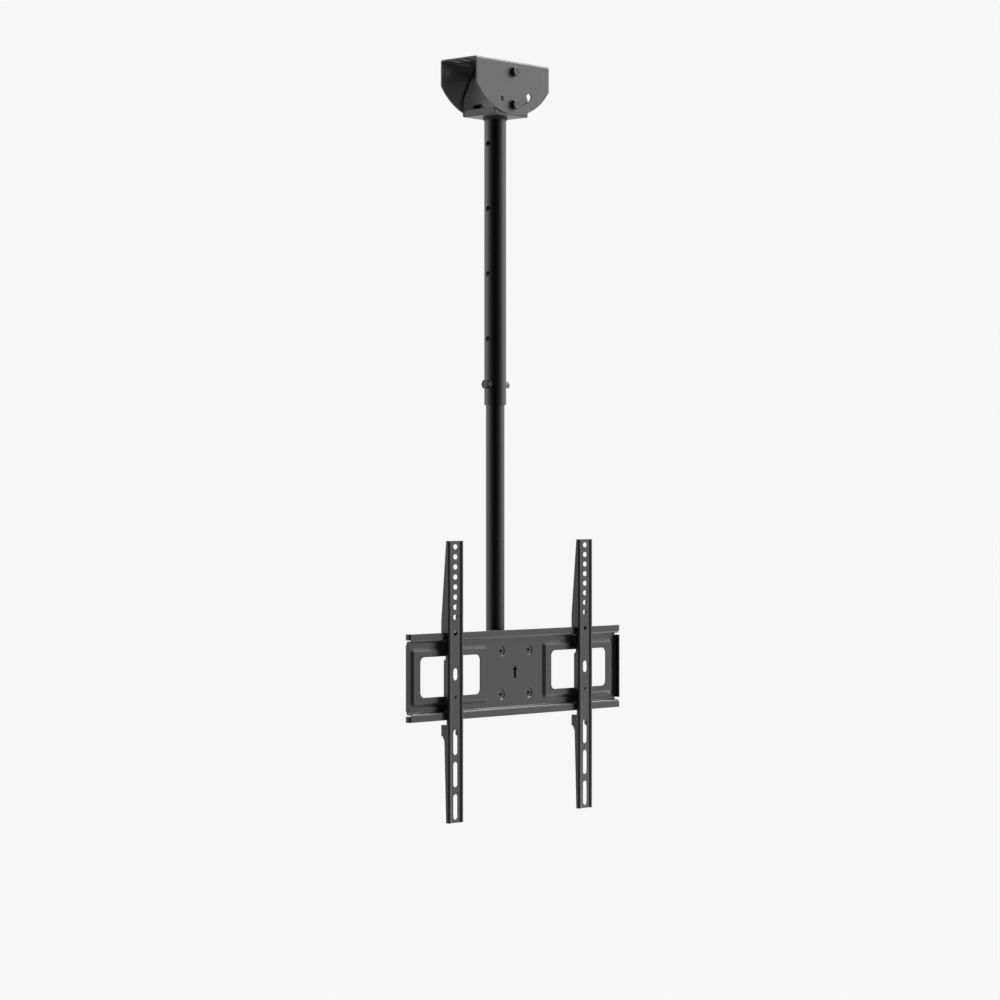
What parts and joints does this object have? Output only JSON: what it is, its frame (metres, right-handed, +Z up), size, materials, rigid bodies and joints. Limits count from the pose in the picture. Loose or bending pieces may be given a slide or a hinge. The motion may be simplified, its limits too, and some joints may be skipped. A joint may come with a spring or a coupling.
{
  "type": "telescopic tv ceiling mount",
  "caption": "Black steel ceiling mount for a flat screen: slope bracket, swivelling telescopic pole, tilting pressed plate and hooked arms that slide sideways.",
  "frame": {"origin": "on the pole's axis, in the top face of the ceiling plate", "axes": "+Z up to the ceiling, -Y towards the viewer of the screen, +X along the mounting plate"},
  "size_m": [0.48, 0.1062, 1.1534],
  "materials": {
    "black_powder_coat": "satin black powder coat",
    "bolt_steel": "black plated steel",
    "black_plastic": "black nylon"
  },
  "bodies": {
    "ceiling": {"ceiling_bracket": "black_powder_coat", "slope_pivot_bolt": "bolt_steel", "slope_pivot_washers": "bolt_steel", "slope_pivot_nut": "bolt_steel"},
    "swing_yoke": {"yoke": "black_powder_coat", "slope_lock_screws": "bolt_steel", "slope_lock_washers": "bolt_steel", "slope_lock_nuts": "bolt_steel", "swivel_bush": "black_plastic"},
    "upper_pole": {"upper_tube": "black_powder_coat", "retaining_ring": "black_powder_coat", "clamp_bosses": "black_powder_coat", "clamp_screw": "bolt_steel", "stop_screw": "bolt_steel", "stop_nut": "bolt_steel"},
    "lower_pole": {"lower_tube": "black_powder_coat", "end_plug": "black_plastic", "tilt_pivot_bolt": "bolt_steel", "tilt_pivot_washers": "bolt_steel", "tilt_pivot_nut": "bolt_steel", "tilt_lock_bolt": "bolt_steel", "tilt_lock_washers": "bolt_steel", "tilt_lock_nut": "bolt_steel"},
    "tilt_head": {"left_tilt_ear": "black_powder_coat", "right_tilt_ear": "black_powder_coat", "mounting_plate": "black_powder_coat", "plate_screws": "bolt_steel", "plate_nuts": "bolt_steel"},
    "left_arm": {"left_arm": "black_powder_coat", "left_arm_screw": "bolt_steel"},
    "right_arm": {"right_arm": "black_powder_coat", "right_arm_screw": "bolt_steel"}
  },
  "joints": [
    {"name": "slope_hinge", "type": "hinge", "parent": "ceiling", "child": "swing_yoke", "pos_m": [0, 0, -0.0165], "axis": [0, -1, 0], "range_deg": [0, 45]},
    {"name": "pole_swivel", "type": "hinge", "parent": "swing_yoke", "child": "upper_pole", "pos_m": [0, 0, -0.0834], "axis": [0, 0, 1], "continuous": true},
    {"name": "height_slide", "type": "slide", "parent": "upper_pole", "child": "lower_pole", "axis": [0, 0, 1], "range_m": [0, 0.35]},
    {"name": "tilt_hinge", "type": "hinge", "parent": "lower_pole", "child": "tilt_head", "pos_m": [0, 0, -0.9352], "axis": [1, 0, 0], "range_deg": [-5, 20]},
    {"name": "left_arm_slide", "type": "slide", "parent": "tilt_head", "child": "left_arm", "axis": [1, 0, 0], "range_m": [-0.07, 0.08]},
    {"name": "right_arm_slide", "type": "slide", "parent": "tilt_head", "child": "right_arm", "axis": [1, 0, 0], "range_m": [-0.08, 0.07]}
  ]
}
